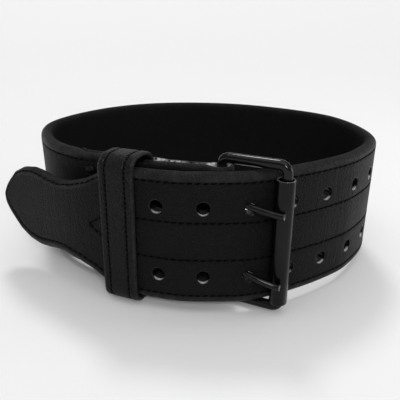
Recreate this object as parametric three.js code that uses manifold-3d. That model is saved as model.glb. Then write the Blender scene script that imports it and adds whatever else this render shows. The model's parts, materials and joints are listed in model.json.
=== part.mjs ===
// Weightlifting belt, buckled into an oval and standing on its lower edge.
// Millimetres, +Z up. The buckle faces -Y and the free tongue points to -X.

import * as THREE from 'three';
import { mergeVertices } from 'three/addons/utils/BufferGeometryUtils.js';
import Module from 'manifold-3d';

// Leather band
const BAND_WIDTH = 101.6;
const BAND_THICKNESS = 10;
const LOOP_WIDTH = 287;
const TONGUE_TAPER = 140;
const NOSE_ROUNDING = 5;

// Fold that holds the buckle: an outer leg and an inner leg that ends in a skived flap
const OUTER_LEG = 5.6;
const INNER_LEG = 4;
const FLAP_LENGTH = 118;
const FLAP_TIP = 1.2;
const SKIVE_LENGTH = 10;
const HEEL_WEDGE = 13;
const KEEPER_WEDGE = 12;
const FOLD_TRIM = 1.2;
const TONGUE_CLEAR = 4;

// Holes in two rows
const HOLE_DIAMETER = 9.5;
const HOLE_PITCH = 31.75;
const HOLE_PAIRS = 9;
const BUCKLED_PAIR = 3;
const ROW_SPACING = 53.4;
const ROW_DROP = 1.1;

// Keeper loop
const KEEPER_WIDTH = 28;
const KEEPER_THICKNESS = 3.4;
const KEEPER_AT = 65.2;
const KEEPER_SLACK_ABOVE = 4.6;
const KEEPER_SLACK_BELOW = 3.1;
const KEEPER_TOP_BEND = 9;
const KEEPER_CROWN = 17;
const KEEPER_CROWN_RISE = 10;
const KEEPER_LOWER_BEND = 9.8;
const KEEPER_TUCK_BEND = 3.2;
const KEEPER_EDGE = 0.8;
const KEEPER_SEAT_MARGIN = 1;

// Roller buckle
const WIRE = 7.5;
const BUCKLE_LENGTH = 47.6;
const BUCKLE_SLACK_ABOVE = 0.8;
const BUCKLE_SLACK_BELOW = 0.5;
const BUCKLE_CORNER = 5.5;
const ROLLER_DIAMETER = 12;
const ROLLER_WALL = 1.6;
const ROLLER_LENGTH = 96.4;
const ROLLER_SINK = 0.8;

// Prongs
const PRONG = 4.2;
const PRONG_EYE_WALL = 3.5;
const PRONG_TIP = 3;
const PRONG_EYE_LIFT = 4.5;
const PRONG_HOLE_LIFT = 1.2;
const UPPER_PRONG_DROOP = 3;
const LOWER_PRONG_DROOP = 4.6;
const PRONG_HOLE_SHARE = 0.46;
const SLOT_HEIGHT = 9.5;

// Rivets through the fold
const RIVET_HEAD = 8;
const RIVET_DOME = 2;
const RIVET_SHANK = 3.6;
const RIVET_AT = 103;
const RIVET_INSET = 14.4;

// Clearances
const SEAT_GAP = 0.3;
const CUT_GAP = 0.35;

// How the belt leans: the direction of its lowest back point, seen from its middle
const LEAN_DIRECTION = THREE.MathUtils.degToRad(99.5);

// Facets
const RIM_FACETS = 6;
const HOLE_FACETS = 16;
const WIRE_FACETS = 12;
const PRONG_FACETS = 10;
const ROLLER_FACETS = 24;
const RIVET_FACETS = 12;

// Stations along each stretch
const HEEL_STATIONS = 5;
const LEG_STATIONS = 22;
const BEND_STATIONS = 10;
const BACK_STATIONS = 26;
const FRONT_STATIONS = 36;
const KEEPER_STATIONS = 5;
const CORNER_STATIONS = 6;
const PRONG_STATIONS = 16;

// Shares of the strap's length: where its back ends, and from where the tongue overlaps the front
const BACK_END = 0.45;
const OVERLAP_START = 0.7;

// Middle line of the strap from the heel bar round to the tip of the tongue, seen from above.
// turn: degrees clockwise from the front; reach: distance from the middle, as a share of half
// the loop's width; wrap: share of the step outwards that takes the tongue over the fold.
const ROUTE = [
  { turn: -6.3, reach: 0.751, wrap: 0 },
  { turn: 5.9, reach: 0.71, wrap: 0 },
  { turn: 18.8, reach: 0.7, wrap: 0 },
  { turn: 38.8, reach: 0.729, wrap: 0 },
  { turn: 56.4, reach: 0.84, wrap: 0 },
  { turn: 75, reach: 0.936, wrap: 0 },
  { turn: 98, reach: 1.01, wrap: 0 },
  { turn: 127, reach: 0.945, wrap: 0 },
  { turn: 153.3, reach: 0.876, wrap: 0 },
  { turn: 187.4, reach: 0.801, wrap: 0 },
  { turn: 217.4, reach: 0.813, wrap: 0 },
  { turn: 250.8, reach: 0.939, wrap: 0 },
  { turn: 281.9, reach: 1.007, wrap: 0 },
  { turn: 303, reach: 0.957, wrap: 0 },
  { turn: 315.6, reach: 0.916, wrap: 0 },
  { turn: 332.4, reach: 0.843, wrap: 0.35 },
  { turn: 345.4, reach: 0.789, wrap: 0.8 },
  { turn: 354, reach: 0.753, wrap: 1 },
  { turn: 370.2, reach: 0.75, wrap: 1 },
  { turn: 402.4, reach: 0.797, wrap: 1 },
  { turn: 423, reach: 0.911, wrap: 1 },
  { turn: 437.4, reach: 1.098, wrap: 1 },
];

// Outline of the tongue. back: distance from the tip, as a share of the taper; half: half
// height, as a share of half the band's width.
const TONGUE = [
  { back: 0, half: 0 },
  { back: 0.004, half: 0.05 },
  { back: 0.012, half: 0.1 },
  { back: 0.03, half: 0.18 },
  { back: 0.055, half: 0.28 },
  { back: 0.09, half: 0.38 },
  { back: 0.15, half: 0.53 },
  { back: 0.23, half: 0.635 },
  { back: 0.32, half: 0.675 },
  { back: 0.4, half: 0.655 },
  { back: 0.48, half: 0.615 },
  { back: 0.56, half: 0.605 },
  { back: 0.65, half: 0.65 },
  { back: 0.75, half: 0.735 },
  { back: 0.85, half: 0.88 },
  { back: 0.93, half: 0.97 },
  { back: 1, half: 1 },
];

// Dome of a rivet head. out: share of the head's radius; rise: share of the dome's height.
const DOME = [
  { out: 1, rise: 0 },
  { out: 0.94, rise: 0.4 },
  { out: 0.7, rise: 0.78 },
  { out: 0.36, rise: 0.96 },
  { out: 0, rise: 1 },
];

const wasm = await Module();
wasm.setup();

const bandLeather = new THREE.MeshStandardMaterial({ color: 0x202022, roughness: 0.55, metalness: 0 });
const keeperLeather = new THREE.MeshStandardMaterial({ color: 0x252527, roughness: 0.45, metalness: 0 });
const blackMetal = new THREE.MeshStandardMaterial({ color: 0x2e2e30, roughness: 0.3, metalness: 0.85 });
const rivetMetal = new THREE.MeshStandardMaterial({ color: 0x3a3a3c, roughness: 0.35, metalness: 0.8 });

// Derived sizes
const halfLoop = LOOP_WIDTH / 2;
const halfBand = BAND_THICKNESS / 2;
const middle = BAND_WIDTH / 2;
const partingLine = -(OUTER_LEG - INNER_LEG) / 2;
const foldBore = WIRE / 2 + SEAT_GAP;
const wrapStep = partingLine + foldBore + OUTER_LEG + TONGUE_CLEAR + halfBand;

// A smooth step from 0 to 1 while value passes from start to end
function ease(value, start, end) {
  return THREE.MathUtils.smoothstep(value, start, end);
}

function mix(from, to, share) {
  return from + (to - from) * share;
}

// Reads a column of a table at a place along another column, with its end values past the ends
function readTable(rows, along, column, place) {
  const next = rows.findIndex((row) => row[along] >= place);
  if (next === -1) return rows[rows.length - 1][column];
  if (next === 0) return rows[0][column];
  const from = rows[next - 1];
  const to = rows[next];
  const share = (place - from[along]) / (to[along] - from[along]);
  return mix(from[column], to[column], share);
}

// The middle line as a curve in the plane z = 0
const routeCurve = new THREE.CatmullRomCurve3(
  ROUTE.map(({ turn, reach, wrap }) => {
    const angle = THREE.MathUtils.degToRad(-90 - turn);
    const distance = reach * halfLoop + wrap * wrapStep;
    return new THREE.Vector3(Math.cos(angle) * distance, Math.sin(angle) * distance, 0);
  }),
  false,
  'centripetal',
);
routeCurve.arcLengthDivisions = 1200;
const routeLength = routeCurve.getLength();

// Point, direction of travel and outward direction at a distance from the heel bar
function walk(distance) {
  const share = THREE.MathUtils.clamp(distance / routeLength, 0, 1);
  const point = routeCurve.getPointAt(share);
  const along = routeCurve.getTangentAt(share).normalize();
  const outward = new THREE.Vector3(-along.y, along.x, 0);
  return { point, along, outward };
}

function offsetPoint(distance, offset) {
  const { point, outward } = walk(distance);
  return point.addScaledVector(outward, offset);
}

// First distance from start on, in small steps, where a test holds
function findDistance(start, step, test) {
  let distance = start;
  while (distance > 0 && distance < routeLength && !test(distance)) distance += step;
  return distance;
}

// Where the tongue passes closest to a point
function nearestOnTongue(target) {
  let best = routeLength;
  let shortest = Infinity;
  for (let distance = routeLength * OVERLAP_START; distance < routeLength; distance += 0.25) {
    const reach = walk(distance).point.distanceTo(target);
    if (reach < shortest) {
      shortest = reach;
      best = distance;
    }
  }
  return best;
}

const heelBar = offsetPoint(0, partingLine);
const heelUnderTongue = nearestOnTongue(heelBar);

// The roller lies on the tongue's outer face, one buckle length from the heel bar
const rollerOffset = halfBand + SEAT_GAP + ROLLER_DIAMETER / 2;
const rollerBeside = findDistance(
  heelUnderTongue,
  -0.1,
  (distance) => offsetPoint(distance, rollerOffset).distanceTo(heelBar) >= BUCKLE_LENGTH,
);
const rollerAxis = offsetPoint(rollerBeside, rollerOffset);
const buckledHoleAt = mix(heelUnderTongue, rollerBeside, PRONG_HOLE_SHARE);
const rowHeights = [middle - ROW_DROP + ROW_SPACING / 2, middle - ROW_DROP - ROW_SPACING / 2];

// Half of the opening between the two legs of the fold
function legOpening(distance) {
  const closed = SEAT_GAP / 2;
  const atHeel = (foldBore - closed) * (1 - ease(distance, 0, HEEL_WEDGE));
  const fromKeeper = Math.abs(distance - KEEPER_AT) - KEEPER_WIDTH / 2;
  const wedge = 1 - ease(fromKeeper, KEEPER_SEAT_MARGIN, KEEPER_WEDGE);
  const atKeeper = (KEEPER_THICKNESS / 2 + SEAT_GAP - closed) * wedge;
  return closed + Math.max(atHeel, atKeeper);
}

function skive(distance) {
  return ease(distance, FLAP_LENGTH - SKIVE_LENGTH, FLAP_LENGTH);
}

// Offsets of the outer leg's two faces, which become the band's own
function bandFaces(distance) {
  const near = mix(partingLine + legOpening(distance), -halfBand, skive(distance));
  const far = mix(partingLine + legOpening(distance) + OUTER_LEG, halfBand, skive(distance));
  return { near, far };
}

function flapFaces(distance) {
  const near = bandFaces(distance).near - 2 * legOpening(distance);
  const far = near - mix(INNER_LEG, FLAP_TIP, skive(distance));
  return { near, far };
}

// One cross-section: a slab between two faces with half-round rims
function slabRing(origin, direction, near, far, low, high) {
  const half = Math.abs(far - near) / 2;
  const centre = (near + far) / 2;
  const side = Math.sign(far - near);
  const rim = Math.min(half, (high - low) / 2);
  const ring = [];
  for (const [level, start] of [[high - rim, 0], [low + rim, Math.PI]]) {
    for (let step = 0; step <= RIM_FACETS; step += 1) {
      const angle = start + (Math.PI * step) / RIM_FACETS;
      const reach = centre + side * half * Math.cos(angle);
      const point = origin.clone().addScaledVector(direction, reach);
      point.z += level + rim * Math.sin(angle);
      ring.push(point);
    }
  }
  return ring;
}

// Closed body through a row of rings with equal numbers of points
function loft(rings, closed = false) {
  const count = rings[0].length;
  const positions = rings.flat().flatMap((point) => [point.x, point.y, point.z]);
  const index = [];
  const spans = closed ? rings.length : rings.length - 1;
  for (let span = 0; span < spans; span += 1) {
    const here = span * count;
    const next = ((span + 1) % rings.length) * count;
    for (let corner = 0; corner < count; corner += 1) {
      const after = (corner + 1) % count;
      index.push(here + corner, here + after, next + after);
      index.push(here + corner, next + after, next + corner);
    }
  }
  if (!closed) {
    const last = (rings.length - 1) * count;
    for (let corner = 1; corner < count - 1; corner += 1) {
      index.push(0, corner + 1, corner);
      index.push(last, last + corner, last + corner + 1);
    }
  }
  const geometry = new THREE.BufferGeometry();
  geometry.setAttribute('position', new THREE.Float32BufferAttribute(positions, 3));
  geometry.setIndex(index);
  return geometry;
}

function toSolid(geometry) {
  const bare = geometry.clone();
  bare.deleteAttribute('normal');
  bare.deleteAttribute('uv');
  const merged = mergeVertices(bare, 1e-4);
  return new wasm.Manifold(new wasm.Mesh({
    numProp: 3,
    vertProperties: new Float32Array(merged.attributes.position.array),
    triVerts: new Uint32Array(merged.index.array),
  }));
}

function toGeometry(solid) {
  const mesh = solid.getMesh();
  const geometry = new THREE.BufferGeometry();
  geometry.setAttribute('position', new THREE.BufferAttribute(mesh.vertProperties, 3));
  geometry.setIndex(new THREE.BufferAttribute(mesh.triVerts, 1));
  return geometry;
}

// Round bar along a line of points; side is a direction square to the line
function bar(points, radius, facets, side, closed = false) {
  const count = points.length;
  const rings = points.map((point, place) => {
    const before = closed ? points[(place + count - 1) % count] : points[Math.max(place - 1, 0)];
    const after = closed ? points[(place + 1) % count] : points[Math.min(place + 1, count - 1)];
    const along = after.clone().sub(before).normalize();
    const across = new THREE.Vector3().crossVectors(side, along).normalize();
    const upright = new THREE.Vector3().crossVectors(along, across);
    const ring = [];
    for (let facet = 0; facet < facets; facet += 1) {
      const angle = (2 * Math.PI * facet) / facets;
      ring.push(point.clone()
        .addScaledVector(across, radius * Math.cos(angle))
        .addScaledVector(upright, radius * Math.sin(angle)));
    }
    return ring;
  });
  return loft(rings, closed);
}

// A cylinder with its axis along a direction
function plug(centre, direction, radius, length, facets) {
  const geometry = new THREE.CylinderGeometry(radius, radius, length, facets);
  const turn = new THREE.Quaternion().setFromUnitVectors(new THREE.Vector3(0, 1, 0), direction);
  geometry.applyQuaternion(turn);
  geometry.translate(centre.x, centre.y, centre.z);
  return toSolid(geometry);
}

function steps(from, to, count) {
  return Array.from({ length: count + 1 }, (unused, place) => mix(from, to, place / count));
}

// Fold and back of the band: flap, inner leg, bend round the heel bar, outer leg, body
const backEnd = routeLength * BACK_END;

function foldRings() {
  const rings = [];
  const heelPlaces = steps(0, HEEL_WEDGE, HEEL_STATIONS);
  const legPlaces = [...heelPlaces, ...steps(HEEL_WEDGE, FLAP_LENGTH, LEG_STATIONS).slice(1)];
  for (const distance of [...legPlaces].reverse()) {
    const { point, outward } = walk(distance);
    const { near, far } = flapFaces(distance);
    rings.push(slabRing(point, outward, near, far, FOLD_TRIM, BAND_WIDTH - FOLD_TRIM));
  }
  const { along, outward } = walk(0);
  for (const share of steps(1, 0, BEND_STATIONS).slice(1, -1)) {
    const angle = Math.PI * share;
    const direction = outward.clone().multiplyScalar(Math.cos(angle));
    direction.addScaledVector(along, -Math.sin(angle));
    const far = foldBore + mix(OUTER_LEG, INNER_LEG, share);
    rings.push(slabRing(heelBar, direction, foldBore, far, FOLD_TRIM, BAND_WIDTH - FOLD_TRIM));
  }
  const bodyPlaces = steps(FLAP_LENGTH, backEnd, BACK_STATIONS).slice(1);
  for (const distance of [...legPlaces, ...bodyPlaces]) {
    const { point, outward: away } = walk(distance);
    const { near, far } = bandFaces(distance);
    const trim = FOLD_TRIM * (1 - skive(distance));
    rings.push(slabRing(point, away, near, far, trim, BAND_WIDTH - trim));
  }
  return rings;
}

// Front right stretch and tongue, with the round nose
function tongueRings() {
  const taperStart = routeLength - TONGUE_TAPER;
  const places = [
    ...steps(backEnd, taperStart, FRONT_STATIONS),
    ...TONGUE.slice(1, -1).map(({ back }) => routeLength - back * TONGUE_TAPER).reverse(),
  ];
  return places.map((distance) => {
    const { point, outward } = walk(distance);
    const back = routeLength - distance;
    const half = middle * readTable(TONGUE, 'back', 'half', back / TONGUE_TAPER);
    const nose = Math.max(0, 1 - back / NOSE_ROUNDING);
    const thin = halfBand * Math.sqrt(1 - nose * nose);
    return slabRing(point, outward, -thin, thin, middle - half, middle + half);
  });
}

// Middle line of a prong, from the heel bar through the hole and onto the roller
function prongLine(row, droop) {
  const hole = walk(buckledHoleAt);
  const axis = rollerAxis.clone().sub(heelBar).normalize();
  const away = new THREE.Vector3(axis.y, -axis.x, 0);
  const rest = rollerAxis.clone().addScaledVector(away, ROLLER_DIAMETER / 2 + SEAT_GAP + PRONG / 2);
  const face = hole.point.clone().addScaledVector(hole.outward, halfBand + PRONG / 4);
  const inside = face.clone().lerp(heelBar, 0.5);
  const tip = rest.clone().addScaledVector(axis, PRONG_TIP);
  const start = heelBar.clone().lerp(face, (foldBore + PRONG_EYE_WALL / 2) / heelBar.distanceTo(face));
  start.z = row + PRONG_EYE_LIFT;
  inside.z = row + mix(PRONG_EYE_LIFT, PRONG_HOLE_LIFT, 0.5);
  face.z = row + PRONG_HOLE_LIFT;
  rest.z = row - droop;
  tip.z = row - droop;
  return new THREE.CatmullRomCurve3([start, inside, face, rest, tip], false, 'centripetal');
}

function prongShank(row, droop, radius) {
  const points = prongLine(row, droop).getPoints(PRONG_STATIONS);
  return toSolid(bar(points, radius, PRONG_FACETS, new THREE.Vector3(0, 0, 1)));
}

const prongs = [
  { name: 'prong_upper', row: rowHeights[0], droop: UPPER_PRONG_DROOP },
  { name: 'prong_lower', row: rowHeights[1], droop: LOWER_PRONG_DROOP },
];

function makeBand() {
  let band = toSolid(loft([...foldRings(), ...tongueRings().slice(1)]));
  const slotReach = foldBore + OUTER_LEG + SEAT_GAP;
  const upright = new THREE.Vector3(0, 0, 1);
  for (const { row, droop } of prongs) {
    const centre = heelBar.clone().setZ(row + PRONG_EYE_LIFT - PRONG / 4);
    band = band.subtract(plug(centre, upright, slotReach, SLOT_HEIGHT, ROLLER_FACETS));
    band = band.subtract(prongShank(row, droop, PRONG / 2 + CUT_GAP));
  }
  for (const height of [BAND_WIDTH - RIVET_INSET, RIVET_INSET]) {
    const { point, outward } = walk(RIVET_AT);
    point.z = height;
    const bore = RIVET_SHANK / 2 + SEAT_GAP;
    band = band.subtract(plug(point, outward, bore, 3 * BAND_THICKNESS, RIVET_FACETS));
  }
  for (let pair = 0; pair < HOLE_PAIRS; pair += 1) {
    const { point, outward } = walk(buckledHoleAt + (BUCKLED_PAIR - pair) * HOLE_PITCH);
    for (const row of rowHeights) {
      point.z = row;
      band = band.subtract(plug(point, outward, HOLE_DIAMETER / 2, 1.6 * BAND_THICKNESS, HOLE_FACETS));
    }
  }
  return toGeometry(band);
}

// Keeper: a closed leather loop whose inner run lies between the legs of the fold
function makeKeeper() {
  const half = KEEPER_WIDTH / 2;
  const thick = KEEPER_THICKNESS / 2;
  const tongueCentre = nearestOnTongue(walk(KEEPER_AT).point);
  const span = walk(tongueCentre).point.distanceTo(offsetPoint(KEEPER_AT, partingLine));
  const outerRun = span + halfBand + SEAT_GAP + thick;
  const top = BAND_WIDTH + KEEPER_SLACK_ABOVE + thick;
  const bottom = -KEEPER_SLACK_BELOW - thick;
  const profile = new THREE.Path();
  profile.moveTo(0, bottom + KEEPER_TUCK_BEND);
  profile.absellipse(
    KEEPER_CROWN, top - KEEPER_CROWN_RISE, KEEPER_CROWN, KEEPER_CROWN_RISE, Math.PI, Math.PI / 2, true,
  );
  profile.absarc(
    outerRun - KEEPER_TOP_BEND, top - KEEPER_TOP_BEND, KEEPER_TOP_BEND, Math.PI / 2, 0, true,
  );
  profile.absarc(
    outerRun - KEEPER_LOWER_BEND, bottom + KEEPER_LOWER_BEND, KEEPER_LOWER_BEND, 0, -Math.PI / 2, true,
  );
  profile.absarc(KEEPER_TUCK_BEND, bottom + KEEPER_TUCK_BEND, KEEPER_TUCK_BEND, -Math.PI / 2, -Math.PI, true);
  const line = profile.getPoints(KEEPER_STATIONS).filter((point, place, all) => (
    point.distanceTo(all[(place + all.length - 1) % all.length]) > SEAT_GAP / 10
  ));
  const section = [];
  for (const side of [1, -1]) {
    for (const share of [-1, -0.5, 0, 0.5, 1]) {
      section.push({ across: side * share * (half - KEEPER_EDGE), rise: side * thick });
    }
    section.push({ across: side * half, rise: side * (thick - KEEPER_EDGE) });
    section.push({ across: side * half, rise: -side * (thick - KEEPER_EDGE) });
  }
  const rings = line.map((point, place) => {
    const before = line[(place + line.length - 1) % line.length];
    const after = line[(place + 1) % line.length];
    const outside = new THREE.Vector2(-(after.y - before.y), after.x - before.x).normalize();
    return section.map(({ across, rise }) => {
      const reach = point.x + outside.x * rise;
      const inner = offsetPoint(KEEPER_AT + across, partingLine);
      const outer = walk(tongueCentre + across).point;
      const spot = inner.lerp(outer, reach / span);
      spot.z = point.y + outside.y * rise;
      return spot;
    });
  });
  return loft(rings, true);
}

// Buckle frame: one closed round wire, square at the corners but for their bends
function makeFrame() {
  const axis = rollerAxis.clone().sub(heelBar);
  const length = axis.length();
  axis.normalize();
  const top = BAND_WIDTH + BUCKLE_SLACK_ABOVE + WIRE / 2;
  const bottom = -BUCKLE_SLACK_BELOW - WIRE / 2;
  const corners = [
    { along: BUCKLE_CORNER, height: bottom + BUCKLE_CORNER, start: Math.PI },
    { along: length - BUCKLE_CORNER, height: bottom + BUCKLE_CORNER, start: 1.5 * Math.PI },
    { along: length - BUCKLE_CORNER, height: top - BUCKLE_CORNER, start: 0 },
    { along: BUCKLE_CORNER, height: top - BUCKLE_CORNER, start: 0.5 * Math.PI },
  ];
  const points = corners.flatMap(({ along, height, start }) => (
    steps(start, start + Math.PI / 2, CORNER_STATIONS).map((angle) => {
      const point = heelBar.clone().addScaledVector(axis, along + BUCKLE_CORNER * Math.cos(angle));
      point.z = height + BUCKLE_CORNER * Math.sin(angle);
      return point;
    })
  ));
  const side = new THREE.Vector3(axis.y, -axis.x, 0);
  return bar(points, WIRE / 2, WIRE_FACETS, side, true);
}

// Roller: a plain tube that turns on the front bar and rests on the frame's lower bend
function makeRoller() {
  const outer = ROLLER_DIAMETER / 2;
  const inner = outer - ROLLER_WALL;
  const profile = [[inner, 0], [outer, 0], [outer, ROLLER_LENGTH], [inner, ROLLER_LENGTH], [inner, 0]];
  const geometry = new THREE.LatheGeometry(profile.map(([x, y]) => new THREE.Vector2(x, y)), ROLLER_FACETS);
  geometry.rotateX(Math.PI / 2);
  return toGeometry(toSolid(geometry));
}

// Prong: an eye round the heel bar and a bent shank
function makeProng(row, droop) {
  const inner = foldBore;
  const outer = foldBore + PRONG_EYE_WALL;
  const half = PRONG / 2;
  const bevel = PRONG / 6;
  const profile = [
    [inner, bevel - half], [inner + bevel, -half], [outer - bevel, -half], [outer, bevel - half],
    [outer, half - bevel], [outer - bevel, half], [inner + bevel, half], [inner, half - bevel],
    [inner, bevel - half],
  ];
  const eye = new THREE.LatheGeometry(profile.map(([x, y]) => new THREE.Vector2(x, y)), ROLLER_FACETS);
  eye.rotateX(Math.PI / 2);
  eye.translate(heelBar.x, heelBar.y, row + PRONG_EYE_LIFT);
  return toGeometry(toSolid(eye).add(prongShank(row, droop, PRONG / 2)));
}

// Rivet: a domed head outside, a post through both legs and a low head inside
function makeRivet() {
  const outside = bandFaces(RIVET_AT).far + SEAT_GAP;
  const inside = flapFaces(RIVET_AT).far - SEAT_GAP;
  const head = RIVET_HEAD / 2;
  const post = RIVET_SHANK / 2;
  const profile = [
    [0, inside - RIVET_DOME / 2],
    [(head + post) / 2, inside - RIVET_DOME / 2],
    [head, inside - RIVET_DOME / 4],
    [head, inside],
    [post, inside],
    [post, outside],
    ...DOME.map(({ out, rise }) => [head * out, outside + RIVET_DOME * rise]),
  ];
  const geometry = new THREE.LatheGeometry(profile.map(([x, y]) => new THREE.Vector2(x, y)), RIVET_FACETS);
  return toGeometry(toSolid(geometry));
}

const belt = new THREE.Group();

function addPiece(name, geometry, material) {
  const mesh = new THREE.Mesh(geometry, material);
  mesh.name = name;
  belt.add(mesh);
  return mesh;
}

addPiece('belt_band', makeBand(), bandLeather);
addPiece('keeper_loop', makeKeeper(), keeperLeather);
addPiece('buckle_frame', makeFrame(), blackMetal);

const roller = addPiece('buckle_roller', makeRoller(), blackMetal);
roller.position.copy(rollerAxis);
roller.position.z = BUCKLE_CORNER - BUCKLE_SLACK_BELOW - WIRE / 2 - ROLLER_SINK;

for (const { name, row, droop } of prongs) addPiece(name, makeProng(row, droop), blackMetal);

for (const { name, height } of [
  { name: 'rivet_upper', height: BAND_WIDTH - RIVET_INSET },
  { name: 'rivet_lower', height: RIVET_INSET },
]) {
  const rivet = addPiece(name, makeRivet(), rivetMetal);
  const { point, outward } = walk(RIVET_AT);
  rivet.position.set(point.x, point.y, height);
  rivet.quaternion.setFromUnitVectors(new THREE.Vector3(0, 1, 0), outward);
}

// The belt leans back a little: it rests on the frame's lower arm and on its edge at the back
const lean = new THREE.Vector3(Math.cos(LEAN_DIRECTION), Math.sin(LEAN_DIRECTION), 0);
const backReach = Math.max(...steps(0, routeLength, 400).map((distance) => walk(distance).point.dot(lean)));
const armReach = heelBar.dot(lean) - BUCKLE_CORNER / 2;
const leanAngle = Math.atan((BUCKLE_SLACK_BELOW + WIRE) / (backReach - armReach));
belt.quaternion.setFromAxisAngle(new THREE.Vector3(-lean.y, lean.x, 0), leanAngle);

// The origin is under the middle of the belt, on the surface that it stands on
const stand = new THREE.Group();
stand.add(belt);
stand.updateMatrixWorld(true);
const box = new THREE.Box3().setFromObject(belt, true);
belt.position.set(-(box.min.x + box.max.x) / 2, -(box.min.y + box.max.y) / 2, -box.min.z);

export default stand;
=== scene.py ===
"""Weightlifting belt: black leather strap, keeper, roller buckle, prongs, rivets and stitches.

Shapes are worked out in millimetres on the belt before it leans, and are placed in metres.
"""
import json
import math

import bpy
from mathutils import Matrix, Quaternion, Vector

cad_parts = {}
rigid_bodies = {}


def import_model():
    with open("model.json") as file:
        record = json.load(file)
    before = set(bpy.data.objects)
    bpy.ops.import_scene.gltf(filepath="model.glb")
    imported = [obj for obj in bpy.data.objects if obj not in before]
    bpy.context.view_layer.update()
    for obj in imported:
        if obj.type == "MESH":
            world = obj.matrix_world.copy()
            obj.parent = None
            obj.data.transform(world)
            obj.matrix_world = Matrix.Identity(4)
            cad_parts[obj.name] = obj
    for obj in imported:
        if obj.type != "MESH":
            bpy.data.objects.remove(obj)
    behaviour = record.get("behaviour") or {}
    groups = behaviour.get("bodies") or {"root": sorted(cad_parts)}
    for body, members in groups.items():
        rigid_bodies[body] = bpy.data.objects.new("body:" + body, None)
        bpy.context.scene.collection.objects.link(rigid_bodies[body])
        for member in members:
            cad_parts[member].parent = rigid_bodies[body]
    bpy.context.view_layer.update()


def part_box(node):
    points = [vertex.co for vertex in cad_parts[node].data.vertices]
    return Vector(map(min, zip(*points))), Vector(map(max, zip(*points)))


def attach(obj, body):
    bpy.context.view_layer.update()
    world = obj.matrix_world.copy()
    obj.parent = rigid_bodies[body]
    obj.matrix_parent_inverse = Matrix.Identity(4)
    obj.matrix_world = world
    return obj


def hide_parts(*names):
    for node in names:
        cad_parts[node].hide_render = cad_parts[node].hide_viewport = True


bl_info = {
    "name": "Weightlifting Belt",
    "version": (1, 0, 0),
    "blender": (4, 5, 0),
    "location": "View3D > Sidebar > Belt",
    "description": "Builds a buckled leather weightlifting belt on its solid parts",
    "category": "Add Mesh",
}

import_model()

# Leather band
BAND_WIDTH = 101.6
BAND_THICKNESS = 10
LOOP_WIDTH = 287
TONGUE_TAPER = 140
NOSE_ROUNDING = 5

# Fold that holds the buckle
OUTER_LEG = 5.6
INNER_LEG = 4
FLAP_LENGTH = 118
FLAP_TIP = 1.2
SKIVE_LENGTH = 10
HEEL_WEDGE = 13
KEEPER_WEDGE = 12
FOLD_TRIM = 1.2
TONGUE_CLEAR = 4

# Holes in two rows
HOLE_DIAMETER = 9.5
HOLE_FLARE = 0.7
# Mouths of the free holes that carry the bright painted highlight: their depth and extra radius
MOUTH_DEPTH = 2.2
MOUTH_CUT = 0.06
PRESSED_DIAMETER = 8.2
PRESSED_SINK = 0.9
HOLE_PITCH = 31.75
HOLE_PAIRS = 9
BUCKLED_PAIR = 3
ROW_SPACING = 53.4
ROW_DROP = 1.1

# Keeper loop
KEEPER_WIDTH = 28
KEEPER_THICKNESS = 3.4
KEEPER_AT = 65.2
KEEPER_SLACK_ABOVE = 4.6
KEEPER_SLACK_BELOW = 3.1
KEEPER_TOP_BEND = 9
KEEPER_CROWN = 17
KEEPER_CROWN_RISE = 10
KEEPER_LOWER_BEND = 9.8
KEEPER_TUCK_BEND = 3.2
KEEPER_EDGE = 2.2
KEEPER_SLANT = 1.4
KEEPER_SEAT_MARGIN = 1
KEEPER_STEP = 2.6
KEEPER_LEAST_STEP = 0.05
KEEPER_FACE_STEPS = 12
KEEPER_EDGE_STEPS = 8

# Roller buckle
WIRE = 7.5
BUCKLE_LENGTH = 47.6
BUCKLE_SLACK_ABOVE = 0.8
BUCKLE_SLACK_BELOW = 0.5
BUCKLE_CORNER = 5.5
ROLLER_DIAMETER = 12
ROLLER_WALL = 1.3
ROLLER_LENGTH = 96.4
ROLLER_SINK = 0.8
ROLLER_EDGE = 0.45
ROLLER_SWELL = 0.7
ROLLER_SHIFT = 1.1

# How bare the metal is at each ring of the roller, from its lower inner edge to its upper one; the pale
# bare metal at the lips is partly wear and partly a painted highlight
ROLLER_BARE_AND_GLINT = (0, 1, 1, 0.5, 0, 0, 0.5, 1, 1, 0)

# Prongs
PRONG = 4.9
PRONG_EYE_WALL = 3.5
PRONG_TIP = 3
PRONG_SAMPLES = 48
PRONG_OVER_ROLLER = 1.33
PRONG_EYE_LIFT = 4.5
PRONG_HOLE_LIFT = 1.2
UPPER_PRONG_DROOP = 3
LOWER_PRONG_DROOP = 4.6
PRONG_HOLE_SHARE = 0.46
SLOT_HEIGHT = 9.5

# Last rings of a prong: share of its radius, and how bare the metal is, which at the blunt tip is
# partly wear and partly a painted highlight
PRONG_END = ((1, 0), (0.96, 0.4), (0.84, 1))

# Rivets
RIVET_HEAD = 8
RIVET_DOME = 2
RIVET_SHANK = 3.6
RIVET_AT = 103
RIVET_INSET = 14.4

# Clearances
SEAT_GAP = 0.3
CUT_GAP = 0.35

# Stitch rows: insets from the edges, and the pair of rows beside the middle
EDGE_ROW_INSET = 7
TONGUE_ROW_INSET = 5
MIDDLE_ROW = 14.5
MIDDLE_ROW_END = 107
MIDDLE_ROW_BEND = 21
TONGUE_ROW_RISE = 2.8
GROOVE_WIDTH = 1.7
GROOVE_DEPTH = 0.6
ARROW_SEAT = 0.1
KEEPER_FINENESS = 0.68
STRAP_SEAT = 0.8
KEEPER_SEAT = 0.75
KEEPER_ROWS = (-7.3, 8.1)
STITCH_SKEW = 0.12
STITCH_FACETS = 6
ROW_START = 2
ROW_STEPS = 420
ARROW_STEPS = 6
CONTOUR_STEPS = 280
CONTOUR_GAP = 0.4

# One stitch: share of its length, share of the thread's radius, and rise in radii
STITCH_SHAPE = (
    (-0.5, 0.35, -0.54), (-0.4, 0.85, -0.12), (-0.15, 1, 0.06),
    (0.15, 1, 0.06), (0.4, 0.85, -0.12), (0.5, 0.35, -0.54),
)

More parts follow.
